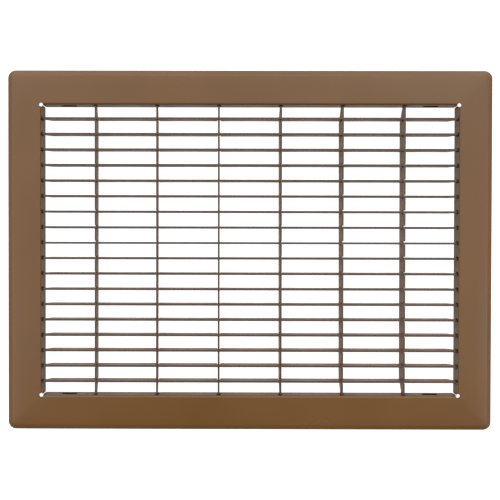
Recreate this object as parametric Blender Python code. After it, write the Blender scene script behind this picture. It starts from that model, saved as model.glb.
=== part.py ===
"""Return air grille for a nominal 14 by 10 inch floor opening.

A one-piece pressed steel face frame has a collar bent down around its opening. Fins run the long
way and cross bars the short way. The two sets are half-lapped, and their ends go through slots
in the collar, where each tab is bent over. Units are metres, +Z is up, and the grille lies face up.
"""

import math

import bmesh
import bpy
from mathutils import Matrix, Vector

# Rows of fins and cross bars: end spaces run from the last middle to the collar's inner face
FIN_COUNT = 18
FIN_PITCH = 0.0127
FIN_END_SPACE = 0.01065
BAR_COUNT = 6
BAR_PITCH = 0.0508
BAR_END_SPACE = 0.0434

# Face frame: borders run from the collar's inner face to the rim's edge
END_BORDER = 0.0276
SIDE_BORDER = 0.0284
FRAME_SHEET = 0.0009
RIM_HEIGHT = 0.0060
RIM_CORNER_RADIUS = 0.0065
FOLD_CORNER_RADIUS = 0.0036
INNER_CORNER_RADIUS = 0.0005
BEVEL_WIDTH = 0.0052
BEVEL_ANGLE = math.radians(27.0)
LIP_BEND_RADIUS = 0.0014
FACE_BEND_RADIUS = 0.0030

# Collar
COLLAR_DEPTH = 0.0160
COLLAR_BEND_RADIUS = 0.0011

# Reliefs where two collar sides would meet: a round hole in the face that narrows to a slit
RELIEF_RADIUS = 0.0017
RELIEF_FOOT_RADIUS = 0.0004
RELIEF_SLIT = 0.0006
RELIEF_SLIT_REACH = 0.0020

# Windows near the ends of the two long collar sides
WINDOW_LENGTH = 0.0127
WINDOW_HEIGHT = 0.0075
WINDOW_DROP = 0.0050
WINDOW_INSET = 0.0153

# Fins and cross bars
CORE_RECESS = 0.0040
FIN_DEPTH = 0.0127
FIN_SHEET = 0.0014
FIN_TAPER = 0.0054
BAR_DEPTH = 0.0159
BAR_SHEET = 0.0014
BAR_TAPER = 0.0115
LAP_DEPTH = 0.00635

# Tabs at the ends of the fins and bars
FIN_TAB_DEPTH = 0.0048
FIN_TAB_TURN = 0.0045
BAR_TAB_DEPTH = 0.0070
BAR_TAB_TURN = 0.0060
TAB_CHAMFER = 0.0010
TAB_BEND_RADIUS = 0.00135
SHOULDER_GAP = 0.0005

# Clearances
SEAT_GAP = 0.0003
LAP_SIDE_GAP = 0.00055
SLOT_SIDE_GAP = 0.00085
SLOT_HEAD_GAP = 0.0018
CUT_OVERRUN = 0.0010

# Facets
CORNER_STEPS = 7
BEND_STEPS = 4
TAB_BEND_STEPS = 4
RELIEF_STEPS = 24
BISECT_TOLERANCE = 0.0000003
SMOOTH_ANGLE = math.radians(32.0)

# Painted steel colours, linear
FRAME_COLOUR = (0.205, 0.114, 0.061, 1.0)
FIN_COLOUR = (0.190, 0.110, 0.066, 1.0)
BAR_COLOUR = (0.190, 0.110, 0.066, 1.0)
PAINT_ROUGHNESS = 0.38

# Sizes that follow from those above
FACE_HEIGHT = CORE_RECESS + BAR_DEPTH
CORE_HEIGHT = FACE_HEIGHT - CORE_RECESS
COLLAR_FOOT = FACE_HEIGHT - COLLAR_DEPTH
INNER_HALF_LENGTH = BAR_PITCH * (BAR_COUNT - 1) / 2 + BAR_END_SPACE
INNER_HALF_WIDTH = FIN_PITCH * (FIN_COUNT - 1) / 2 + FIN_END_SPACE
HALF_LENGTH = INNER_HALF_LENGTH + END_BORDER
HALF_WIDTH = INNER_HALF_WIDTH + SIDE_BORDER


def clear_scene():
    for scene_object in list(bpy.data.objects):
        bpy.data.objects.remove(scene_object, do_unlink=True)


def painted_steel(name, colour):
    material = bpy.data.materials.new(name)
    material.use_nodes = True
    shader = material.node_tree.nodes["Principled BSDF"]
    shader.inputs["Base Color"].default_value = colour
    shader.inputs["Roughness"].default_value = PAINT_ROUGHNESS
    shader.inputs["Metallic"].default_value = 0.0
    return material


def mesh_from(shape, name):
    """Turn a finished bmesh into a mesh whose faces point outwards."""
    bmesh.ops.recalc_face_normals(shape, faces=shape.faces)
    mesh = bpy.data.meshes.new(name)
    shape.to_mesh(mesh)
    shape.free()
    return mesh


def add_object(name, data, parent=None):
    placed = bpy.data.objects.new(name, data)
    bpy.context.scene.collection.objects.link(placed)
    placed.parent = parent
    return placed


def centred_row(count, pitch):
    """Places of equally spaced pieces, centred on the middle of the opening."""
    return [pitch * (index - (count - 1) / 2) for index in range(count)]


class SheetLine:
    """Centre line of bent sheet seen end on: points (inset from the rim, height) and their normals."""

    def __init__(self, inset, height):
        self.place = Vector((inset, height))
        self.heading = math.pi / 2
        self.points = []
        self.mark()

    def mark(self):
        normal = Vector((-math.sin(self.heading), math.cos(self.heading)))
        self.points.append((self.place.copy(), normal))

    def run(self, length):
        self.place += length * Vector((math.cos(self.heading), math.sin(self.heading)))
        self.mark()

    def bend(self, radius, angle):
        """Turn towards the opening."""
        centre = self.place + radius * Vector((math.sin(self.heading), -math.cos(self.heading)))
        for _ in range(BEND_STEPS):
            self.heading -= angle / BEND_STEPS
            self.place = centre + radius * Vector((-math.sin(self.heading), math.cos(self.heading)))
            self.mark()


def frame_section(border):
    """The pressed section from the rim's foot over the bevel and the face to the collar's foot."""
    half_sheet = FRAME_SHEET / 2
    lip_turn = math.pi / 2 - BEVEL_ANGLE
    lip_inset = half_sheet + LIP_BEND_RADIUS * (1 - math.cos(lip_turn))
    face_bend_inset = FACE_BEND_RADIUS * math.sin(BEVEL_ANGLE)
    ramp = (BEVEL_WIDTH - lip_inset - face_bend_inset) / math.cos(BEVEL_ANGLE)
    ramp_rise = ramp * math.sin(BEVEL_ANGLE)
    bends_rise = LIP_BEND_RADIUS * math.sin(lip_turn) + FACE_BEND_RADIUS * (1 - math.cos(BEVEL_ANGLE))
    lip = RIM_HEIGHT - half_sheet - ramp_rise - bends_rise
    collar_inset = border - half_sheet

    line = SheetLine(half_sheet, FACE_HEIGHT - RIM_HEIGHT)
    line.run(lip)
    line.bend(LIP_BEND_RADIUS, lip_turn)
    line.run(ramp)
    line.bend(FACE_BEND_RADIUS, BEVEL_ANGLE)
    line.run(collar_inset - COLLAR_BEND_RADIUS - BEVEL_WIDTH)
    line.bend(COLLAR_BEND_RADIUS, math.pi / 2)
    line.run(COLLAR_DEPTH - half_sheet - COLLAR_BEND_RADIUS)
    return line.points


def corner_radius(inset, border):
    """Plan radius of a ring's corners: largest at the rim, less at the fold, and least at the collar."""
    if inset < BEVEL_WIDTH:
        share = inset / BEVEL_WIDTH
        return RIM_CORNER_RADIUS + (FOLD_CORNER_RADIUS - RIM_CORNER_RADIUS) * share
    share = min((inset - BEVEL_WIDTH) / (border - FRAME_SHEET - BEVEL_WIDTH), 1)
    return FOLD_CORNER_RADIUS + (INNER_CORNER_RADIUS - FOLD_CORNER_RADIUS) * share


def rounded_loop(shape, half_length, half_width, radius, height):
    """One closed ring of vertices: a rectangle with round corners."""
    ring = []
    quadrants = ((1, 1), (-1, 1), (-1, -1), (1, -1))
    for quarter, (side_x, side_y) in enumerate(quadrants):
        centre_x = side_x * (half_length - radius)
        centre_y = side_y * (half_width - radius)
        for step in range(CORNER_STEPS + 1):
            angle = (quarter + step / CORNER_STEPS) * math.pi / 2
            corner = (
                centre_x + radius * math.cos(angle),
                centre_y + radius * math.sin(angle),
                height,
            )
            ring.append(shape.verts.new(corner))
    return ring


def bridge(shape, ring, following):
    for index in range(len(ring)):
        after = (index + 1) % len(ring)
        shape.faces.new((ring[index], ring[after], following[after], following[index]))


def frame_mesh():
    """Rings of the outer skin inwards, then of the inner skin back out, joined into one closed shell."""
    end_section = frame_section(END_BORDER)
    side_section = frame_section(SIDE_BORDER)
    sections = list(zip(end_section, side_section))
    passes = [(sections, FRAME_SHEET / 2), (sections[::-1], -FRAME_SHEET / 2)]
    shape = bmesh.new()
    rings = []
    for stations, offset in passes:
        for (end_point, normal), (side_point, _) in stations:
            end_inset = end_point.x + offset * normal.x
            side_inset = side_point.x + offset * normal.x
            height = end_point.y + offset * normal.y
            radius = corner_radius(end_inset, END_BORDER)
            ring = rounded_loop(shape, HALF_LENGTH - end_inset, HALF_WIDTH - side_inset, radius, height)
            rings.append(ring)
    for index, ring in enumerate(rings):
        bridge(shape, ring, rings[(index + 1) % len(rings)])
    return mesh_from(shape, "face_frame")


def add_block(shape, centre, size):
    bmesh.ops.create_cube(shape, size=1.0, matrix=Matrix.Translation(centre) @ Matrix.Diagonal((*size, 1.0)))


def slot_cutter_mesh(name, rows, tab_depth, blade_sheet, along_x):
    """Blocks that open a slot in both collar sides for each tab of a row of fins or bars."""
    top = CORE_HEIGHT + SLOT_HEAD_GAP
    bottom = CORE_HEIGHT - tab_depth - SEAT_GAP
    reach = (INNER_HALF_LENGTH if along_x else INNER_HALF_WIDTH) + FRAME_SHEET / 2
    through = FRAME_SHEET + 2 * CUT_OVERRUN
    opening = blade_sheet + 2 * SLOT_SIDE_GAP
    shape = bmesh.new()
    for place in rows:
        for side in (-1, 1):
            flat = (side * reach, place) if along_x else (place, side * reach)
            width = (through, opening) if along_x else (opening, through)
            add_block(shape, (*flat, (top + bottom) / 2), (*width, top - bottom))
    return mesh_from(shape, name)


def window_cutter_mesh():
    centre_x = INNER_HALF_LENGTH - WINDOW_INSET - WINDOW_LENGTH / 2
    centre_y = INNER_HALF_WIDTH + FRAME_SHEET / 2
    centre_z = FACE_HEIGHT - WINDOW_DROP - WINDOW_HEIGHT / 2
    size = (WINDOW_LENGTH, FRAME_SHEET + 2 * CUT_OVERRUN, WINDOW_HEIGHT)
    shape = bmesh.new()
    for side_x in (-1, 1):
        for side_y in (-1, 1):
            add_block(shape, (side_x * centre_x, side_y * centre_y, centre_z), size)
    return mesh_from(shape, "window_cutter")


def inner_corners(height):
    """The four places where two inner faces of the collar would meet."""
    quadrants = ((1, 1), (-1, 1), (-1, -1), (1, -1))
    return [(side_x * INNER_HALF_LENGTH, side_y * INNER_HALF_WIDTH, height) for side_x, side_y in quadrants]


def relief_cutter_mesh():
    top = FACE_HEIGHT + CUT_OVERRUN
    bottom = COLLAR_FOOT - CUT_OVERRUN
    shape = bmesh.new()
    for centre in inner_corners((top + bottom) / 2):
        bmesh.ops.create_cone(
            shape,
            cap_ends=True,
            segments=RELIEF_STEPS,
            radius1=RELIEF_FOOT_RADIUS,
            radius2=RELIEF_RADIUS,
            depth=top - bottom,
            matrix=Matrix.Translation(centre),
        )
    return mesh_from(shape, "relief_cutter")


def slit_cutter_mesh():
    """Upright blocks on the diagonals that part the collar sides from their foot up to the face's bend."""
    top = FACE_HEIGHT - FRAME_SHEET - COLLAR_BEND_RADIUS
    bottom = COLLAR_FOOT - CUT_OVERRUN
    size = Matrix.Diagonal((2 * RELIEF_SLIT_REACH, RELIEF_SLIT, top - bottom, 1.0))
    shape = bmesh.new()
    for centre in inner_corners((top + bottom) / 2):
        turn = Matrix.Rotation(math.copysign(math.pi / 4, centre[0] * centre[1]), 4, "Z")
        bmesh.ops.create_cube(shape, size=1.0, matrix=Matrix.Translation(centre) @ turn @ size)
    return mesh_from(shape, "slit_cutter")


def cut(target, cutter_mesh):
    cutter = add_object(cutter_mesh.name, cutter_mesh)
    cutter.hide_render = True
    cutter.display_type = "WIRE"
    boolean = target.modifiers.new(cutter_mesh.name, "BOOLEAN")
    boolean.operation = "DIFFERENCE"
    boolean.solver = "EXACT"
    boolean.object = cutter


def build_frame(fin_rows, bar_rows):
    mesh = frame_mesh()
    mesh.shade_smooth()
    mesh.set_sharp_from_angle(angle=SMOOTH_ANGLE)
    mesh.materials.append(painted_steel("frame_paint", FRAME_COLOUR))
    frame = add_object("face_frame", mesh)
    cut(frame, relief_cutter_mesh())
    cut(frame, slit_cutter_mesh())
    cut(frame, slot_cutter_mesh("fin_slot_cutter", fin_rows, FIN_TAB_DEPTH, FIN_SHEET, True))
    cut(frame, slot_cutter_mesh("bar_slot_cutter", bar_rows, BAR_TAB_DEPTH, BAR_SHEET, False))
    cut(frame, window_cutter_mesh())
    return frame


def notched_edge(centres, width, edge, root):
    """Corners of square notches along one edge, in rising order."""
    corners = []
    for centre in centres:
        corners += [
            (centre - width / 2, edge),
            (centre - width / 2, root),
            (centre + width / 2, root),
            (centre + width / 2, edge),
        ]
    return corners


def blade_outline(tab_end, tab_depth, depth, shoulder, taper, front_notches, back_notches):
    """Flat outline of a fin or bar: its front edge lies at height 0 and its back edge at -depth."""
    front = [(-tab_end, -TAB_CHAMFER), (TAB_CHAMFER - tab_end, 0)]
    front += front_notches
    front += [(tab_end - TAB_CHAMFER, 0), (tab_end, -TAB_CHAMFER)]
    back = [
        (tab_end, TAB_CHAMFER - tab_depth),
        (tab_end - TAB_CHAMFER, -tab_depth),
        (shoulder, -tab_depth),
        (shoulder - taper, -depth),
    ]
    mirrored = [(-station, height) for station, height in reversed(back)]
    return front + back + back_notches[::-1] + mirrored


def blade_mesh(name, outline, sheet, bend_start, along_x):
    """A flat blade cut to its outline, with both tabs turned the same way through a right angle."""
    bend_arc = TAB_BEND_RADIUS * math.pi / 2
    shape = bmesh.new()
    shape.faces.new([shape.verts.new((station, -sheet / 2, height)) for station, height in outline])
    for side in (-1, 1):
        for step in range(TAB_BEND_STEPS + 1):
            station = side * (bend_start + bend_arc * step / TAB_BEND_STEPS)
            everything = shape.verts[:] + shape.edges[:] + shape.faces[:]
            bmesh.ops.bisect_plane(
                shape,
                geom=everything,
                dist=BISECT_TOLERANCE,
                plane_co=(station, 0, 0),
                plane_no=(1, 0, 0),
            )
    raised = bmesh.ops.extrude_face_region(shape, geom=shape.faces[:])
    top_side = [item for item in raised["geom"] if isinstance(item, bmesh.types.BMVert)]
    bmesh.ops.translate(shape, verts=top_side, vec=(0, sheet, 0))
    for vertex in shape.verts:
        vertex.co = turned_tab(vertex.co, bend_start, bend_arc)
    if not along_x:
        bmesh.ops.rotate(shape, verts=shape.verts, matrix=Matrix.Rotation(-math.pi / 2, 3, "Z"))
    return mesh_from(shape, name)


def turned_tab(flat, bend_start, bend_arc):
    """Carry a point of the flat blade round its tab's bend, towards +Y."""
    past = abs(flat.x) - bend_start
    if past <= 0:
        return flat.copy()
    angle = min(past / TAB_BEND_RADIUS, math.pi / 2)
    reach = bend_start + (TAB_BEND_RADIUS - flat.y) * math.sin(angle)
    rise = TAB_BEND_RADIUS - (TAB_BEND_RADIUS - flat.y) * math.cos(angle)
    leg = max(past - bend_arc, 0)
    return Vector((math.copysign(reach, flat.x), rise + leg, flat.z))


def bend_start_for(inner_half, sheet):
    """Where a tab starts to bend so that its turned leg lies one seat gap off the collar."""
    return inner_half + FRAME_SHEET + SEAT_GAP + sheet / 2 - TAB_BEND_RADIUS


def fin_mesh(bar_rows):
    bend_start = bend_start_for(INNER_HALF_LENGTH, FIN_SHEET)
    tab_end = bend_start + TAB_BEND_RADIUS * math.pi / 2 + FIN_TAB_TURN
    notch_width = BAR_SHEET + 2 * LAP_SIDE_GAP
    notches = notched_edge(bar_rows, notch_width, -FIN_DEPTH, -LAP_DEPTH + SEAT_GAP / 2)
    shoulder = INNER_HALF_LENGTH - SHOULDER_GAP
    outline = blade_outline(tab_end, FIN_TAB_DEPTH, FIN_DEPTH, shoulder, FIN_TAPER, [], notches)
    return blade_mesh("fin", outline, FIN_SHEET, bend_start, True)


def bar_mesh(fin_rows):
    bend_start = bend_start_for(INNER_HALF_WIDTH, BAR_SHEET)
    tab_end = bend_start + TAB_BEND_RADIUS * math.pi / 2 + BAR_TAB_TURN
    notch_width = FIN_SHEET + 2 * LAP_SIDE_GAP
    notches = notched_edge(fin_rows, notch_width, 0, -LAP_DEPTH - SEAT_GAP / 2)
    shoulder = INNER_HALF_WIDTH - SHOULDER_GAP
    outline = blade_outline(tab_end, BAR_TAB_DEPTH, BAR_DEPTH, shoulder, BAR_TAPER, notches, [])
    return blade_mesh("cross_bar", outline, BAR_SHEET, bend_start, False)


def build_core(fin_rows, bar_rows):
    """Fins and cross bars hang on one empty at the height of their front edges."""
    core = add_object("core", None)
    core.location.z = CORE_HEIGHT
    fin = fin_mesh(bar_rows)
    fin.materials.append(painted_steel("fin_paint", FIN_COLOUR))
    bar = bar_mesh(fin_rows)
    bar.materials.append(painted_steel("bar_paint", BAR_COLOUR))
    for number, place in enumerate(reversed(fin_rows), start=1):
        placed = add_object(f"fin_{number:02d}", fin, core)
        placed.location.y = place
        placed.rotation_euler.z = 0 if place > 0 else math.pi
    for number, place in enumerate(bar_rows, start=1):
        placed = add_object(f"cross_bar_{number}", bar, core)
        placed.location.x = place
        placed.rotation_euler.z = 0 if place > 0 else math.pi


def main():
    clear_scene()
    fin_rows = centred_row(FIN_COUNT, FIN_PITCH)
    bar_rows = centred_row(BAR_COUNT, BAR_PITCH)
    build_frame(fin_rows, bar_rows)
    build_core(fin_rows, bar_rows)


main()
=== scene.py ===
import math

import bmesh
import bpy
from mathutils import Matrix, Vector


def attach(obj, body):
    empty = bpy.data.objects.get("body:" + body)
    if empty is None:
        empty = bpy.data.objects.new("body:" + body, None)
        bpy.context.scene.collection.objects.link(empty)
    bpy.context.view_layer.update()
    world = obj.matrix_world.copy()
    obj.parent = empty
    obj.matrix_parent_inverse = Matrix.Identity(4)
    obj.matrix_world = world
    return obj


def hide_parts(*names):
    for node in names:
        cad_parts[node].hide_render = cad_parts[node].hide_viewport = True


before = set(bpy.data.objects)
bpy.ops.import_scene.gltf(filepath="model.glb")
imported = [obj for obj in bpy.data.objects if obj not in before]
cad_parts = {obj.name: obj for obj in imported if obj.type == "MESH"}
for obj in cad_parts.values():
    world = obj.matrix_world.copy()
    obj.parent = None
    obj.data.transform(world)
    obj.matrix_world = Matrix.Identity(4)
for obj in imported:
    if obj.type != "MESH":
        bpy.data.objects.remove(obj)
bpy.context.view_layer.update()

# Rows of fins and cross bars, as in the part
FIN_COUNT = 18
FIN_PITCH = 0.0127
FIN_END_SPACE = 0.01065
BAR_COUNT = 6
BAR_PITCH = 0.0508
BAR_END_SPACE = 0.0434

# Face frame
END_BORDER = 0.0276
SIDE_BORDER = 0.0284
FRAME_SHEET = 0.0009
RIM_HEIGHT = 0.0060
RIM_CORNER_RADIUS = 0.0065
FOLD_CORNER_RADIUS = 0.0036
INNER_CORNER_RADIUS = 0.0005
BEVEL_WIDTH = 0.0052
BEVEL_ANGLE = math.radians(27.0)
LIP_BEND_RADIUS = 0.0014
FACE_BEND_RADIUS = 0.0030
FACE_CROWN = math.radians(0.8)
FACE_EDGE_CURVE = math.radians(1.5)
FACE_EDGE_WIDTH = 0.0080
COLLAR_DEPTH = 0.0160
COLLAR_BEND_RADIUS = 0.0011
SHEET_EDGE_RADIUS = 0.0003

# Reliefs and windows of the collar
RELIEF_RADIUS = 0.0017
RELIEF_FOOT_RADIUS = 0.0004
RELIEF_SLIT = 0.0006
RELIEF_SLIT_REACH = 0.0020
WINDOW_LENGTH = 0.0127
WINDOW_HEIGHT = 0.0075
WINDOW_DROP = 0.0050
WINDOW_INSET = 0.0153
WINDOW_CORNER_RADIUS = 0.0010
SLOT_CORNER_RADIUS = 0.0004

# Fins and cross bars
CORE_RECESS = 0.0040
FIN_DEPTH = 0.0127
FIN_STEEL = 0.0014
FIN_TAPER = 0.0054
BAR_DEPTH = 0.0159
BAR_STEEL = 0.0013
COATING = 0.0001
BAR_TAPER = 0.0115
LAP_DEPTH = 0.00635
FIN_TAB_DEPTH = 0.0048
FIN_TAB_TURN = 0.0045
BAR_TAB_DEPTH = 0.0070
BAR_TAB_TURN = 0.0060
TAB_CORNER_RADIUS = 0.0012
TAPER_CORNER_RADIUS = 0.0008
SHOULDER_RADIUS = 0.0004
NOTCH_RADIUS = 0.0002
TAB_BEND_RADIUS = 0.00135
SHOULDER_GAP = 0.0005
BLADE_EDGE_ROUNDING = 0.00014

# The cross bars lean a little, are slightly twisted, and sit slightly off their even places:
# angles at the middle, change of angle from end to end, and shift
BAR_LEANS = [math.radians(angle) for angle in (3.9, 3.9, 2.3, 2.9, 3.8, 3.6)]
BAR_TWISTS = [math.radians(angle) for angle in (-0.6, -0.4, 0.9, 1.3, 2.2, 0.8)]
BAR_SHIFTS = (0.0005, 0.0001, 0.0, 0.0002, 0.0, -0.0001)

# The fins near the middle row have sagged in their notches and lean, and the first ones sit high
SAG_ROW = 10.4
SAG_SPREAD = 3.1
SAG_DEPTH = 0.0004
FIRST_RISE = 0.0002
FIRST_RISE_ROWS = 9
FIN_LEAN_ROWS = ((8.7, math.radians(-1.6)), (10.2, math.radians(1.5)))
FIN_LEAN_SPREAD = 1.2

# The collar's end sides lean towards the opening: left and right
COLLAR_LEANS = (math.radians(0.9), math.radians(2.4))

# Clearances
SEAT_GAP = 0.0003
LAP_SIDE_GAP = 0.00055
SLOT_SIDE_GAP = 0.00085
SLOT_HEAD_GAP = 0.0018
CUT_OVERRUN = 0.0010

# Facets and shading
CORNER_STEPS = 14
BEND_STEPS = 9
TAB_BEND_STEPS = 8
RELIEF_STEPS = 40
ROUNDING_STEPS = 3
BISECT_TOLERANCE = 0.0000003
SMOOTH_ANGLE = math.radians(35.0)
BEVEL_MODIFIER_ANGLE = math.radians(50.0)
EDGE_SEGMENTS = 3
FLAT_WEIGHT = 60

# Signs of X and Y at the four corners, in turning order
QUADRANTS = ((1, 1), (-1, 1), (-1, -1), (1, -1))

# Sizes that follow from those above
FIN_SHEET = FIN_STEEL + 2 * COATING
BAR_SHEET = BAR_STEEL + 2 * COATING
FACE_HEIGHT = CORE_RECESS + BAR_DEPTH
CORE_HEIGHT = FACE_HEIGHT - CORE_RECESS
COLLAR_FOOT = FACE_HEIGHT - COLLAR_DEPTH
INNER_HALF_LENGTH = BAR_PITCH * (BAR_COUNT - 1) / 2 + BAR_END_SPACE
INNER_HALF_WIDTH = FIN_PITCH * (FIN_COUNT - 1) / 2 + FIN_END_SPACE
HALF_LENGTH = INNER_HALF_LENGTH + END_BORDER
HALF_WIDTH = INNER_HALF_WIDTH + SIDE_BORDER
SLOT_SHADE_REACH = FRAME_SHEET + SEAT_GAP

# Camera above the face, looking down
CAMERA_PLACE = (0.0028, 0.00995, FACE_HEIGHT + 0.700)
CAMERA_TURN = [math.radians(angle) for angle in (-0.780, 0.211, 0.117)]
CAMERA_LENS = 61.81
CAMERA_SENSOR = 36.0
CAMERA_CLIP_START = 0.01
CAMERA_CLIP_END = 20.0

# Paint: base colours, and the cool painted shade that the strips' edges are blended with. It starts and is
# full where a face points up or down by the two amounts.
FRAME_BASE = (0.167, 0.0775, 0.0220)
BLADE_BASE = (0.232, 0.115, 0.0400)
# Near-black painted shade for the shadow inside the frame's holes and where the strips pass the collar
HOLE_SHADE_BASE = (0.020, 0.012, 0.0080)
EDGE_SHADE_TONE = (0.020, 0.028, 0.040)
EDGE_SHADE_SHARE = 0.65
EDGE_SHADE_START = 0.3
EDGE_SHADE_END = 0.9
SLOT_SHADE_SOFTNESS = 0.0003
PAINT_ROUGHNESS = 0.25
HOLE_SHADE_ROUGHNESS = 0.50
PAINT_IOR = 1.5

# Clouds in the paint's colour and roughness, its orange peel, and the slow waves of the sheet
CLOUD_SIZE = 0.055
CLOUD_LOW = 0.2
CLOUD_HIGH = 0.8
CLOUD_DARKER = 0.93
CLOUD_LIGHTER = 1.06
ROUGHNESS_SPREAD = 0.03
PEEL_SIZE = 0.0011
PEEL_HEIGHT = 0.000006
PEEL_STRENGTH = 0.35
WAVE_SIZE = 0.075
WAVE_HEIGHT = 0.0007

# Studio: the floor's own glow for camera, glossy and diffuse rays, and the shade that it has close
# behind the collar
FLOOR_SIZE = 6.0
FLOOR_COLOUR = (0.68, 0.68, 0.68)
FLOOR_SHADE_COLOUR = (0.015, 0.013, 0.012)
FLOOR_SEEN = 0.95
FLOOR_MIRRORED = 0.10
FLOOR_BOUNCED = 1.00
SHADE_START_AT_ENDS = 0.0013
SHADE_START_AT_SIDES = 0.0010
SHADE_SOFTNESS = 0.0004
SHADE_CORNER_GAP = 0.0060
SHADE_REACH = 0.0055
SHADE_FADE = 0.0030

# Surroundings: level overhead and its tilt along Y, the share of it left at the horizon, and the
# height from which all of it is there
SKY_LEVEL = 0.79
SKY_TILT = 0.70
HORIZON_LEVEL = 0.30
HORIZON_TOP = 0.34

# Soft darker and lighter places: slopes of each from straight up, its widths as slopes, and what it
# adds. The lowest height keeps slopes finite at the horizon.
LOWEST_SLOPE_HEIGHT = 0.05
SPOT_EDGE_POWER = 2.0
SKY_SPOTS = (
    ((0.00, -0.28), (0.35, 0.105), -2.40),
    ((-0.38, 0.32), (0.16, 0.13), 2.00),
    ((0.24, 0.30), (0.16, 0.12), 2.00),
    ((-0.42, -0.15), (0.16, 0.11), 1.70),
    ((0.44, -0.15), (0.14, 0.11), 2.80),
    ((-0.86, -0.10), (0.24, 0.50), 1.90),
    ((0.86, -0.18), (0.24, 0.40), 1.70),
    ((0.05, 0.74), (0.70, 0.22), 1.50),
    ((-0.95, 2.10), (0.40, 0.90), 1.80),
    ((0.95, 2.10), (0.40, 0.90), 1.80),
    ((1.30, -0.90), (0.50, 0.50), 0.60),
)


class Signal:
    """A node's output that takes part in arithmetic, through Math or Vector Math nodes."""

    def __init__(self, recipe, socket):
        self.recipe = recipe
        self.socket = socket

    def calculated(self, operation, first, second):
        types = {item.socket.type for item in (first, second) if isinstance(item, Signal)}
        kind = "ShaderNodeMath" if types == {"VALUE"} else "ShaderNodeVectorMath"
        return self.recipe.node(kind, {"operation": operation}, {0: first, 1: second})

    def __add__(self, other):
        return self.calculated("ADD", self, other)

    def __radd__(self, other):
        return self.calculated("ADD", other, self)

    def __sub__(self, other):
        return self.calculated("SUBTRACT", self, other)

    def __rsub__(self, other):
        return self.calculated("SUBTRACT", other, self)

    def __mul__(self, other):
        return self.calculated("MULTIPLY", self, other)

    def __truediv__(self, other):
        return self.calculated("DIVIDE", self, other)

    def __rtruediv__(self, other):
        return self.calculated("DIVIDE", other, self)

    def absolute(self):
        return self.recipe.node("ShaderNodeMath", {"operation": "ABSOLUTE"}, {0: self})

    def at_least(self, floor):
        return self.recipe.node("ShaderNodeMath", {"operation": "MAXIMUM"}, {0: self, 1: floor})

    def power(self, exponent):
        return self.recipe.node("ShaderNodeMath", {"operation": "POWER"}, {0: self, 1: exponent})

    def mapped(self, low, high, new_low, new_high):
        """This number's range from low to high carried over to a new range, and held inside it."""
        inputs = {"Value": self, "From Min": low, "From Max": high, "To Min": new_low, "To Max": new_high}
        return self.recipe.node("ShaderNodeMapRange", {"clamp": True}, inputs)


class Recipe:
    """The node tree of a material or of the world."""

    def __init__(self, tree):
        self.tree = tree
        self.tree.nodes.clear()

    def node(self, kind, settings=None, inputs=None, output=0):
        made = self.tree.nodes.new(kind)
        for name, value in (settings or {}).items():
            setattr(made, name, value)
        for name, value in (inputs or {}).items():
            if isinstance(value, Signal):
                self.tree.links.new(value.socket, made.inputs[name])
            else:
                made.inputs[name].default_value = value
        return Signal(self, made.outputs[output]) if made.outputs else None

    def parts_of(self, vector):
        """The vector's X, Y and Z."""
        made = self.tree.nodes.new("ShaderNodeSeparateXYZ")
        self.tree.links.new(vector.socket, made.inputs[0])
        return [Signal(self, output) for output in made.outputs]

    def as_colour(self, value):
        return value if isinstance(value, Signal) else (*value, 1.0)

    def blended(self, amount, first, second):
        """Colour that goes from the first to the second as the amount goes from 0 to 1."""
        inputs = {0: amount, 6: self.as_colour(first), 7: self.as_colour(second)}
        return self.node("ShaderNodeMix", {"data_type": "RGBA"}, inputs, 2)

    def noise(self, place, size, detail):
        """Soft noise whose lumps are about as large as the size in metres."""
        inputs = {"Vector": place, "Scale": 1.0 / size, "Detail": detail}
        return self.node("ShaderNodeTexNoise", {"noise_dimensions": "3D"}, inputs)


def slot_shade_mask(place):
    """Mask of a painted shade: 1 where a fin or bar passes the collar, and 0 elsewhere, from a place on the
    strip.
    """
    x, y, _ = place.recipe.parts_of(place)
    past_end = x.absolute() - INNER_HALF_LENGTH
    past = past_end.at_least(y.absolute() - INNER_HALF_WIDTH)
    entered = past.mapped(-SLOT_SHADE_SOFTNESS, 0.0, 0.0, 1.0)
    before_leg = past.mapped(SLOT_SHADE_REACH, SLOT_SHADE_REACH + SLOT_SHADE_SOFTNESS, 1.0, 0.0)
    return entered * before_leg


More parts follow.
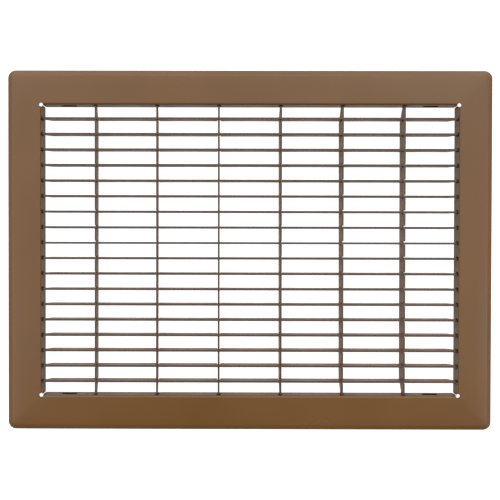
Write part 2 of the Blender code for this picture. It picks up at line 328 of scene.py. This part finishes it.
def painted_steel(name, base, roughness, edge_shade_share):
    """Coated steel with faint clouds, a fine orange peel and slow waves.

    Where the share given isn't 0, the steel is a strip's: its edges that face up or down get a cool painted
    shade by that share, and it has a dark painted shade where it passes the collar.
    """
    material = bpy.data.materials.new(name)
    material.use_nodes = True
    recipe = Recipe(material.node_tree)
    own_place = recipe.node("ShaderNodeTexCoord", output="Object")
    place = own_place + recipe.node("ShaderNodeObjectInfo", output="Location")

    clouds = recipe.noise(place, CLOUD_SIZE, 1.0)
    darker = tuple(channel * CLOUD_DARKER for channel in base)
    lighter = tuple(channel * CLOUD_LIGHTER for channel in base)
    colour = recipe.blended(clouds.mapped(CLOUD_LOW, CLOUD_HIGH, 0.0, 1.0), darker, lighter)
    if edge_shade_share:
        _, _, facing_up = recipe.parts_of(recipe.node("ShaderNodeNewGeometry", output="Normal"))
        # Cool painted shade on the strips' edges that face up or down
        edge = facing_up.absolute().mapped(EDGE_SHADE_START, EDGE_SHADE_END, 0.0, edge_shade_share)
        colour = recipe.blended(edge, colour, EDGE_SHADE_TONE)
        # Painted shade where the strip passes through the collar's slot
        colour = recipe.blended(slot_shade_mask(own_place), colour, HOLE_SHADE_BASE)

    waves = {"Strength": 1.0, "Distance": WAVE_HEIGHT, "Height": recipe.noise(place, WAVE_SIZE, 0.0)}
    wavy = recipe.node("ShaderNodeBump", inputs=waves)
    peel = {"Strength": PEEL_STRENGTH, "Distance": PEEL_HEIGHT, "Height": recipe.noise(place, PEEL_SIZE, 1.0)}
    normal = recipe.node("ShaderNodeBump", inputs={**peel, "Normal": wavy})

    smoother = roughness - ROUGHNESS_SPREAD
    rougher = roughness + ROUGHNESS_SPREAD
    inputs = {
        "Base Color": colour,
        "Roughness": clouds.mapped(CLOUD_LOW, CLOUD_HIGH, smoother, rougher),
        "Normal": normal,
        "IOR": PAINT_IOR,
    }
    shader = recipe.node("ShaderNodeBsdfPrincipled", inputs=inputs)
    recipe.node("ShaderNodeOutputMaterial", inputs={"Surface": shader})
    return material


def strip_shade(outward, along, inner_half, along_half, first_gap):
    """1 close behind the two collar sides at the given distance outwards, 0 elsewhere, with soft edges."""
    distance = outward.absolute()
    start = inner_half + first_gap
    end = inner_half + SHADE_REACH
    past_collar = distance.mapped(start, start + SHADE_SOFTNESS, 0.0, 1.0)
    near_collar = distance.mapped(end, end + SHADE_FADE, 1.0, 0.0)
    length_end = along_half - SHADE_CORNER_GAP
    inside = along.absolute().mapped(length_end - SHADE_CORNER_GAP / 2, length_end, 1.0, 0.0)
    return past_collar * near_collar * inside


def pale_floor():
    """Pale floor that the camera sees as near white, and that lights the collar and strips from below."""
    material = bpy.data.materials.new("pale_floor")
    material.use_nodes = True
    recipe = Recipe(material.node_tree)
    camera_ray = recipe.node("ShaderNodeLightPath", output="Is Camera Ray")
    glossy_ray = recipe.node("ShaderNodeLightPath", output="Is Glossy Ray")
    diffuse_ray = recipe.node("ShaderNodeLightPath", output="Is Diffuse Ray")
    glow_level = camera_ray * FLOOR_SEEN + glossy_ray * FLOOR_MIRRORED + diffuse_ray * FLOOR_BOUNCED
    x, y, _ = recipe.parts_of(recipe.node("ShaderNodeTexCoord", output="Object"))
    ends = strip_shade(x, y, INNER_HALF_LENGTH, INNER_HALF_WIDTH, SHADE_START_AT_ENDS)
    sides = strip_shade(y, x, INNER_HALF_WIDTH, INNER_HALF_LENGTH, SHADE_START_AT_SIDES)
    shade = ends + sides
    strength = glow_level * (1.0 - shade)
    colour = recipe.blended(shade, FLOOR_COLOUR, FLOOR_SHADE_COLOUR)
    diffuse = recipe.node("ShaderNodeBsdfDiffuse", inputs={"Color": colour})
    glow = recipe.node("ShaderNodeEmission", inputs={"Strength": strength})
    both = recipe.node("ShaderNodeAddShader", inputs={0: diffuse, 1: glow})
    recipe.node("ShaderNodeOutputMaterial", inputs={"Surface": both})
    return material


def mesh_from(shape, name):
    bmesh.ops.recalc_face_normals(shape, faces=shape.faces)
    mesh = bpy.data.meshes.new(name)
    shape.to_mesh(mesh)
    shape.free()
    return mesh


def add_object(name, data):
    placed = bpy.data.objects.new(name, data)
    bpy.context.scene.collection.objects.link(placed)
    return placed


def finished_mesh(worked, name):
    """The mesh of an object with its modifiers carried out. The object itself goes."""
    graph = bpy.context.evaluated_depsgraph_get()
    mesh = bpy.data.meshes.new_from_object(worked.evaluated_get(graph))
    mesh.name = name
    bpy.data.objects.remove(worked, do_unlink=True)
    return mesh


def keep_flats_even(target):
    """Shade the flats as flats, so that only the bends and rounded edges turn."""
    weighted = target.modifiers.new("even_normals", "WEIGHTED_NORMAL")
    weighted.weight = FLAT_WEIGHT
    weighted.keep_sharp = True


def soften_edges(target, width):
    bevel = target.modifiers.new("edge_rounding", "BEVEL")
    bevel.width = width
    bevel.segments = EDGE_SEGMENTS
    bevel.limit_method = "ANGLE"
    bevel.angle_limit = BEVEL_MODIFIER_ANGLE
    bevel.use_clamp_overlap = True
    keep_flats_even(target)


def centred_row(count, pitch):
    """Places of equally spaced pieces, centred on the middle of the opening."""
    return [pitch * (index - (count - 1) / 2) for index in range(count)]


def with_round_corners(corners):
    """A closed outline from corners given as (across, up, radius)."""
    outline = []
    for index, (across, up, radius) in enumerate(corners):
        corner = Vector((across, up))
        before = Vector(corners[index - 1][:2]) - corner
        after = Vector(corners[(index + 1) % len(corners)][:2]) - corner
        if radius <= 0:
            outline.append(corner)
            continue
        half = before.angle(after) / 2
        reach = radius / math.tan(half)
        centre = corner + (before.normalized() + after.normalized()).normalized() * radius / math.sin(half)
        first = corner + before.normalized() * reach - centre
        last = corner + after.normalized() * reach - centre
        sweep = first.angle_signed(last)
        for step in range(ROUNDING_STEPS + 1):
            turned = first.copy()
            turned.rotate(Matrix.Rotation(-sweep * step / ROUNDING_STEPS, 2))
            outline.append(centre + turned)
    return outline


class SheetLine:
    """Centre line of bent sheet seen end on: places (inset from the rim, height) and their normals."""

    def __init__(self, inset, height):
        self.place = Vector((inset, height))
        self.heading = math.pi / 2
        self.points = []
        self.mark()

    def mark(self):
        normal = Vector((-math.sin(self.heading), math.cos(self.heading)))
        self.points.append((self.place.copy(), normal))

    def run(self, length):
        self.place += length * Vector((math.cos(self.heading), math.sin(self.heading)))
        self.mark()

    def bend(self, radius, angle):
        """Turn towards the opening."""
        centre = self.place + radius * Vector((math.sin(self.heading), -math.cos(self.heading)))
        for _ in range(BEND_STEPS):
            self.heading -= angle / BEND_STEPS
            self.place = centre + radius * Vector((-math.sin(self.heading), math.cos(self.heading)))
            self.mark()


def frame_section(border):
    """Closed outline of the pressed section, with its two sheet edges rounded."""
    half_sheet = FRAME_SHEET / 2
    lip_turn = math.pi / 2 - BEVEL_ANGLE
    lip_inset = half_sheet + LIP_BEND_RADIUS * (1 - math.cos(lip_turn))
    face_bend_inset = FACE_BEND_RADIUS * math.sin(BEVEL_ANGLE)
    ramp = (BEVEL_WIDTH - lip_inset - face_bend_inset) / math.cos(BEVEL_ANGLE)
    ramp_rise = ramp * math.sin(BEVEL_ANGLE)
    bends_rise = LIP_BEND_RADIUS * math.sin(lip_turn) + FACE_BEND_RADIUS * (1 - math.cos(BEVEL_ANGLE))
    collar_inset = border - half_sheet
    crowned_run = collar_inset - COLLAR_BEND_RADIUS - BEVEL_WIDTH - FACE_EDGE_WIDTH
    crown_rise = crowned_run * math.tan(FACE_CROWN)
    crown_rise += FACE_EDGE_WIDTH * math.tan(FACE_CROWN + FACE_EDGE_CURVE / 2)
    lip = RIM_HEIGHT - half_sheet - ramp_rise - bends_rise - crown_rise

    line = SheetLine(half_sheet, FACE_HEIGHT - RIM_HEIGHT)
    line.run(lip)
    line.bend(LIP_BEND_RADIUS, lip_turn)
    line.run(ramp)
    line.bend(FACE_BEND_RADIUS, BEVEL_ANGLE - FACE_CROWN - FACE_EDGE_CURVE)
    line.bend(FACE_EDGE_WIDTH / FACE_EDGE_CURVE, FACE_EDGE_CURVE)
    line.run(crowned_run)
    line.bend(COLLAR_BEND_RADIUS, math.pi / 2 + FACE_CROWN)
    line.run(COLLAR_DEPTH - half_sheet - COLLAR_BEND_RADIUS)

    last = len(line.points) - 1
    corners = []
    for offset, order in ((half_sheet, range(last + 1)), (-half_sheet, range(last, -1, -1))):
        for index in order:
            place, normal = line.points[index]
            skin = place + offset * normal
            radius = SHEET_EDGE_RADIUS if index in (0, last) else 0
            corners.append((skin.x, skin.y, radius))
    return with_round_corners(corners)


def corner_radius(inset, border):
    """Plan radius of a ring's corners: largest at the rim, less at the fold, and least at the collar."""
    if inset < BEVEL_WIDTH:
        share = max(inset, 0) / BEVEL_WIDTH
        return RIM_CORNER_RADIUS + (FOLD_CORNER_RADIUS - RIM_CORNER_RADIUS) * share
    share = min((inset - BEVEL_WIDTH) / (border - FRAME_SHEET - BEVEL_WIDTH), 1)
    return FOLD_CORNER_RADIUS + (INNER_CORNER_RADIUS - FOLD_CORNER_RADIUS) * share


def rounded_loop(shape, half_length, half_width, radius, height):
    """One closed ring of vertices: a rectangle with round corners."""
    ring = []
    for quarter, (side_x, side_y) in enumerate(QUADRANTS):
        centre_x = side_x * (half_length - radius)
        centre_y = side_y * (half_width - radius)
        for step in range(CORNER_STEPS + 1):
            angle = (quarter + step / CORNER_STEPS) * math.pi / 2
            corner = (
                centre_x + radius * math.cos(angle),
                centre_y + radius * math.sin(angle),
                height,
            )
            ring.append(shape.verts.new(corner))
    return ring


def frame_mesh():
    """Rings around the opening, one for each corner of the section, joined into one closed shell."""
    shape = bmesh.new()
    rings = []
    for end_point, side_point in zip(frame_section(END_BORDER), frame_section(SIDE_BORDER)):
        radius = corner_radius(end_point.x, END_BORDER)
        half_length = HALF_LENGTH - end_point.x
        half_width = HALF_WIDTH - side_point.x
        rings.append(rounded_loop(shape, half_length, half_width, radius, end_point.y))
    for index, ring in enumerate(rings):
        following = rings[(index + 1) % len(rings)]
        for place in range(len(ring)):
            after = (place + 1) % len(ring)
            shape.faces.new((ring[place], ring[after], following[after], following[place]))
    return mesh_from(shape, "frame_sheet")


def add_hole(shape, centre, length, height, radius, along_x):
    """A block with round corners that cuts a hole through a collar side at the given middle."""
    half_length = length / 2
    half_height = height / 2
    corners = [
        (-half_length, -half_height, radius),
        (half_length, -half_height, radius),
        (half_length, half_height, radius),
        (-half_length, half_height, radius),
    ]
    half_through = FRAME_SHEET / 2 + CUT_OVERRUN
    skins = []
    for across in (-half_through, half_through):
        skin = []
        for along, up in with_round_corners(corners):
            offset = (along, across, up) if along_x else (across, along, up)
            skin.append(shape.verts.new(Vector(centre) + Vector(offset)))
        skins.append(skin)
    shape.faces.new(skins[0])
    shape.faces.new(skins[1])
    for index in range(len(skins[0])):
        after = (index + 1) % len(skins[0])
        shape.faces.new((skins[0][index], skins[0][after], skins[1][after], skins[1][index]))


def slot_cutters(fin_rows, bar_rows):
    """Slots for the tabs: in the end sides for the fins, and in the long sides for the cross bars."""
    shape = bmesh.new()
    half_sheet = FRAME_SHEET / 2
    rows = (
        (fin_rows, FIN_TAB_DEPTH, FIN_SHEET, INNER_HALF_LENGTH + half_sheet, False),
        (bar_rows, BAR_TAB_DEPTH, BAR_SHEET, INNER_HALF_WIDTH + half_sheet, True),
    )
    top = CORE_HEIGHT + SLOT_HEAD_GAP
    for places, tab_depth, sheet, reach, along_x in rows:
        bottom = CORE_HEIGHT - tab_depth - SEAT_GAP
        middle = (top + bottom) / 2
        opening = sheet + 2 * SLOT_SIDE_GAP
        for place in places:
            for side in (-1, 1):
                centre = (place, side * reach, middle) if along_x else (side * reach, place, middle)
                add_hole(shape, centre, opening, top - bottom, SLOT_CORNER_RADIUS, along_x)
    return mesh_from(shape, "slot_cutters")


def window_cutters():
    centre_x = INNER_HALF_LENGTH - WINDOW_INSET - WINDOW_LENGTH / 2
    centre_y = INNER_HALF_WIDTH + FRAME_SHEET / 2
    centre_z = FACE_HEIGHT - WINDOW_DROP - WINDOW_HEIGHT / 2
    shape = bmesh.new()
    for side_x in (-1, 1):
        for side_y in (-1, 1):
            centre = (side_x * centre_x, side_y * centre_y, centre_z)
            add_hole(shape, centre, WINDOW_LENGTH, WINDOW_HEIGHT, WINDOW_CORNER_RADIUS, True)
    return mesh_from(shape, "window_cutters")


def inner_corners(height):
    """The four places where two inner faces of the collar would meet."""
    return [(side_x * INNER_HALF_LENGTH, side_y * INNER_HALF_WIDTH, height) for side_x, side_y in QUADRANTS]


def relief_cutters():
    top = FACE_HEIGHT + CUT_OVERRUN
    bottom = COLLAR_FOOT - CUT_OVERRUN
    shape = bmesh.new()
    for centre in inner_corners((top + bottom) / 2):
        bmesh.ops.create_cone(
            shape,
            cap_ends=True,
            segments=RELIEF_STEPS,
            radius1=RELIEF_FOOT_RADIUS,
            radius2=RELIEF_RADIUS,
            depth=top - bottom,
            matrix=Matrix.Translation(centre),
        )
    return mesh_from(shape, "relief_cutters")


def slit_cutters():
    """Upright blocks on the diagonals that part the collar sides from their foot up to the face's bend."""
    top = FACE_HEIGHT - FRAME_SHEET - COLLAR_BEND_RADIUS
    bottom = COLLAR_FOOT - CUT_OVERRUN
    size = Matrix.Diagonal((2 * RELIEF_SLIT_REACH, RELIEF_SLIT, top - bottom, 1.0))
    shape = bmesh.new()
    for centre in inner_corners((top + bottom) / 2):
        turn = Matrix.Rotation(math.copysign(math.pi / 4, centre[0] * centre[1]), 4, "Z")
        bmesh.ops.create_cube(shape, size=1.0, matrix=Matrix.Translation(centre) @ turn @ size)
    return mesh_from(shape, "slit_cutters")


def lean_collar_ends(mesh):
    """Swing the collar's two end sides inwards about the foot of the face's bend."""
    hinge = FACE_HEIGHT - FRAME_SHEET - COLLAR_BEND_RADIUS
    for vertex in mesh.vertices:
        past_side = INNER_HALF_WIDTH - abs(vertex.co.y)
        past_end = abs(vertex.co.x) - INNER_HALF_LENGTH
        if vertex.co.z < hinge and -FRAME_SHEET < past_end < 2 * FRAME_SHEET and past_side > -FRAME_SHEET:
            lean = COLLAR_LEANS[0] if vertex.co.x < 0 else COLLAR_LEANS[1]
            inwards = -math.copysign(1, vertex.co.x)
            vertex.co.x += inwards * (hinge - vertex.co.z) * math.tan(lean)


def build_frame(fin_rows, bar_rows, paint, cut_edge):
    """The pressed frame. The cut faces of its holes take the second material, a near-black painted shade for
    the shadow inside the holes.
    """
    worked = add_object("worked_frame", frame_mesh())
    cutters = [relief_cutters(), slit_cutters(), slot_cutters(fin_rows, bar_rows), window_cutters()]
    for mesh in [worked.data] + cutters:
        mesh.materials.append(paint)
        mesh.materials.append(cut_edge)
    # The cutters' faces carry the painted shade onto the cut faces of the holes
    for mesh in cutters:
        mesh.polygons.foreach_set("material_index", [1] * len(mesh.polygons))
    cutter_objects = [add_object(mesh.name, mesh) for mesh in cutters]
    for cutter in cutter_objects:
        boolean = worked.modifiers.new(cutter.name, "BOOLEAN")
        boolean.operation = "DIFFERENCE"
        boolean.solver = "EXACT"
        boolean.object = cutter
    mesh = finished_mesh(worked, "painted_frame")
    for cutter in cutter_objects:
        bpy.data.objects.remove(cutter, do_unlink=True)
    lean_collar_ends(mesh)
    mesh.shade_smooth()
    mesh.set_sharp_from_angle(angle=SMOOTH_ANGLE)
    piece = add_object("painted_frame", mesh)
    keep_flats_even(piece)
    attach(piece, "root")
    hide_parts("face_frame")


def notched_edge(centres, width, edge, root):
    """Corners of square notches along one edge, in rising order."""
    corners = []
    for centre in centres:
        corners += [
            (centre - width / 2, edge, 0),
            (centre - width / 2, root, NOTCH_RADIUS),
            (centre + width / 2, root, NOTCH_RADIUS),
            (centre + width / 2, edge, 0),
        ]
    return corners


def blade_outline(tab_end, tab_depth, depth, shoulder, taper, front_notches, back_notches):
    """Flat outline of a fin or bar: its front edge lies at height 0 and its back edge at -depth."""
    back_end = [
        (tab_end, -tab_depth, TAB_CORNER_RADIUS),
        (shoulder, -tab_depth, SHOULDER_RADIUS),
        (shoulder - taper, -depth, TAPER_CORNER_RADIUS),
    ]
    mirrored = [(-station, height, radius) for station, height, radius in reversed(back_end)]
    front = [(-tab_end, 0, TAB_CORNER_RADIUS)] + front_notches + [(tab_end, 0, TAB_CORNER_RADIUS)]
    return with_round_corners(front + back_end + back_notches[::-1] + mirrored)


def turned_tab(flat, bend_start, bend_arc):
    """Carry a point of the flat blade round its tab's bend, towards +Y."""
    past = abs(flat.x) - bend_start
    if past <= 0:
        return flat.copy()
    angle = min(past / TAB_BEND_RADIUS, math.pi / 2)
    reach = bend_start + (TAB_BEND_RADIUS - flat.y) * math.sin(angle)
    rise = TAB_BEND_RADIUS - (TAB_BEND_RADIUS - flat.y) * math.cos(angle)
    leg = max(past - bend_arc, 0)
    return Vector((math.copysign(reach, flat.x), rise + leg, flat.z))


def blade_mesh(name, outline, sheet, bend_start, turn, paint):
    """A blade along X whose tabs are turned towards +Y or -Y, with its edges rounded by the coating."""
    bend_arc = TAB_BEND_RADIUS * math.pi / 2
    shape = bmesh.new()
    shape.faces.new([shape.verts.new((place.x, -sheet / 2, place.y)) for place in outline])
    for side in (-1, 1):
        for step in range(TAB_BEND_STEPS + 1):
            station = side * (bend_start + bend_arc * step / TAB_BEND_STEPS)
            everything = shape.verts[:] + shape.edges[:] + shape.faces[:]
            bmesh.ops.bisect_plane(
                shape,
                geom=everything,
                dist=BISECT_TOLERANCE,
                plane_co=(station, 0, 0),
                plane_no=(1, 0, 0),
            )
    raised = bmesh.ops.extrude_face_region(shape, geom=shape.faces[:])
    far_side = [item for item in raised["geom"] if isinstance(item, bmesh.types.BMVert)]
    bmesh.ops.translate(shape, verts=far_side, vec=(0, sheet, 0))
    for vertex in shape.verts:
        folded = turned_tab(vertex.co, bend_start, bend_arc)
        vertex.co = (folded.x, turn * folded.y, folded.z)
    worked = add_object("worked_blade", mesh_from(shape, "worked_blade"))
    worked.data.shade_smooth()
    soften_edges(worked, BLADE_EDGE_ROUNDING)
    mesh = finished_mesh(worked, name)
    mesh.materials.clear()
    mesh.materials.append(paint)
    return mesh


def bend_start_for(inner_half, sheet):
    """Where a tab starts to bend so that its turned leg lies one seat gap off the collar."""
    return inner_half + FRAME_SHEET + SEAT_GAP + sheet / 2 - TAB_BEND_RADIUS


def swell(row, middle, spread):
    """1 at the middle row, falling softly to 0 away from it."""
    return math.exp(-(((row - middle) / spread) ** 2))


def fin_shift(row):
    """How far a fin sits from its even place in the row."""
    rise = FIRST_RISE * max(0, 1 - (row - 1) / FIRST_RISE_ROWS)
    return rise - SAG_DEPTH * swell(row, SAG_ROW, SAG_SPREAD)


def fin_lean(row):
    """How far a fin leans about its front edge."""
    return sum(lean * swell(row, middle, FIN_LEAN_SPREAD) for middle, lean in FIN_LEAN_ROWS)


def build_fins(fin_rows, bar_rows, paint):
    """Fins, whose notches follow the leaning cross bars."""
    bend_start = bend_start_for(INNER_HALF_LENGTH, FIN_SHEET)
    tab_end = bend_start + TAB_BEND_RADIUS * math.pi / 2 + FIN_TAB_TURN
    notch_width = BAR_SHEET + 2 * LAP_SIDE_GAP
    notch_middle = (LAP_DEPTH + FIN_DEPTH) / 2
    centres = [
        place + shift - notch_middle * math.tan(lean)
        for place, shift, lean in zip(bar_rows, BAR_SHIFTS, BAR_LEANS)
    ]
    notches = notched_edge(centres, notch_width, -FIN_DEPTH, -LAP_DEPTH + SEAT_GAP / 2)
    shoulder = INNER_HALF_LENGTH - SHOULDER_GAP
    outline = blade_outline(tab_end, FIN_TAB_DEPTH, FIN_DEPTH, shoulder, FIN_TAPER, [], notches)
    meshes = {
        turn: blade_mesh(f"fin_turned_{word}", outline, FIN_SHEET, bend_start, turn, paint)
        for turn, word in ((1, "back"), (-1, "front"))
    }
    for number, place in enumerate(reversed(fin_rows), start=1):
        piece = add_object(f"painted_fin_{number:02d}", meshes[1 if place > 0 else -1])
        piece.location = (0, place + fin_shift(number), CORE_HEIGHT)
        piece.rotation_euler.x = fin_lean(number)
        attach(piece, "root")
        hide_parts(f"fin_{number:02d}")


def build_bars(fin_rows, bar_rows, paint):
    """Cross bars, each sheared about its front edge by its own lean and twist."""
    bend_start = bend_start_for(INNER_HALF_WIDTH, BAR_SHEET)
    tab_end = bend_start + TAB_BEND_RADIUS * math.pi / 2 + BAR_TAB_TURN
    notch_width = FIN_SHEET + 2 * LAP_SIDE_GAP
    notches = notched_edge(fin_rows, notch_width, 0, -LAP_DEPTH - SEAT_GAP / 2)
    shoulder = INNER_HALF_WIDTH - SHOULDER_GAP
    outline = blade_outline(tab_end, BAR_TAB_DEPTH, BAR_DEPTH, shoulder, BAR_TAPER, notches, [])
    for number, place in enumerate(bar_rows, start=1):
        # Swapping X and Y points the tabs away from the middle, and mirrors the bars on the right
        mesh = blade_mesh(f"cross_bar_sheet_{number}", outline, BAR_SHEET, bend_start, 1, paint)
        lean = BAR_LEANS[number - 1]
        twist = BAR_TWISTS[number - 1]
        side = 1 if place > 0 else -1
        for vertex in mesh.vertices:
            along, across, up = vertex.co
            turned = lean + twist * along / (2 * INNER_HALF_WIDTH)
            vertex.co = (side * across + up * math.tan(turned), along, up)
        if side > 0:
            mesh.flip_normals()
        piece = add_object(f"painted_cross_bar_{number}", mesh)
        piece.location = (place + BAR_SHIFTS[number - 1], 0, CORE_HEIGHT)
        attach(piece, "root")
        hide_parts(f"cross_bar_{number}")


def build_stage():
    shape = bmesh.new()
    bmesh.ops.create_grid(shape, x_segments=1, y_segments=1, size=FLOOR_SIZE / 2)
    mesh = mesh_from(shape, "floor")
    mesh.materials.append(pale_floor())
    add_object("floor", mesh)


def build_world():
    """Pale surroundings with soft darker and lighter places, which the camera sees as white."""
    world = bpy.data.worlds.new("studio")
    bpy.context.scene.world = world
    world.use_nodes = True
    recipe = Recipe(world.node_tree)
    camera_ray = recipe.node("ShaderNodeLightPath", output="Is Camera Ray")
    x, y, z = recipe.parts_of(recipe.node("ShaderNodeTexCoord", output="Generated"))
    height = z.absolute() + LOWEST_SLOPE_HEIGHT
    level = SKY_LEVEL + y * SKY_TILT
    for (slope_x, slope_y), (width_x, width_y), amount in SKY_SPOTS:
        away_x = (x / height - slope_x) / width_x
        away_y = (y / height - slope_y) / width_y
        away = away_x * away_x + away_y * away_y
        level = level + amount / (1.0 + away.power(SPOT_EDGE_POWER))
    level = level.at_least(0.0) * z.absolute().mapped(0.0, HORIZON_TOP, HORIZON_LEVEL, 1.0)
    strength = camera_ray + (1.0 - camera_ray) * level
    background = recipe.node("ShaderNodeBackground", inputs={"Strength": strength})
    recipe.node("ShaderNodeOutputWorld", inputs={"Surface": background})


def build_camera():
    camera = bpy.data.cameras.new("camera")
    camera.lens = CAMERA_LENS
    camera.sensor_width = CAMERA_SENSOR
    camera.sensor_fit = "HORIZONTAL"
    camera.clip_start = CAMERA_CLIP_START
    camera.clip_end = CAMERA_CLIP_END
    placed = add_object("camera", camera)
    placed.location = CAMERA_PLACE
    placed.rotation_euler = CAMERA_TURN
    bpy.context.scene.camera = placed


def main():
    fin_rows = centred_row(FIN_COUNT, FIN_PITCH)
    bar_rows = centred_row(BAR_COUNT, BAR_PITCH)
    frame_paint = painted_steel("frame_coating", FRAME_BASE, PAINT_ROUGHNESS, 0.0)
    # Painted shade for the cut faces of the frame's holes
    cut_edge = painted_steel("cut_edge", HOLE_SHADE_BASE, HOLE_SHADE_ROUGHNESS, 0.0)
    build_frame(fin_rows, bar_rows, frame_paint, cut_edge)
    # Strips' coating, with painted shade on their edges and where they pass the collar
    blade_paint = painted_steel("blade_coating", BLADE_BASE, PAINT_ROUGHNESS, EDGE_SHADE_SHARE)
    build_fins(fin_rows, bar_rows, blade_paint)
    build_bars(fin_rows, bar_rows, blade_paint)
    build_stage()
    build_world()
    build_camera()
    bpy.context.scene.view_settings.view_transform = "Standard"


main()
bpy.context.view_layer.update()
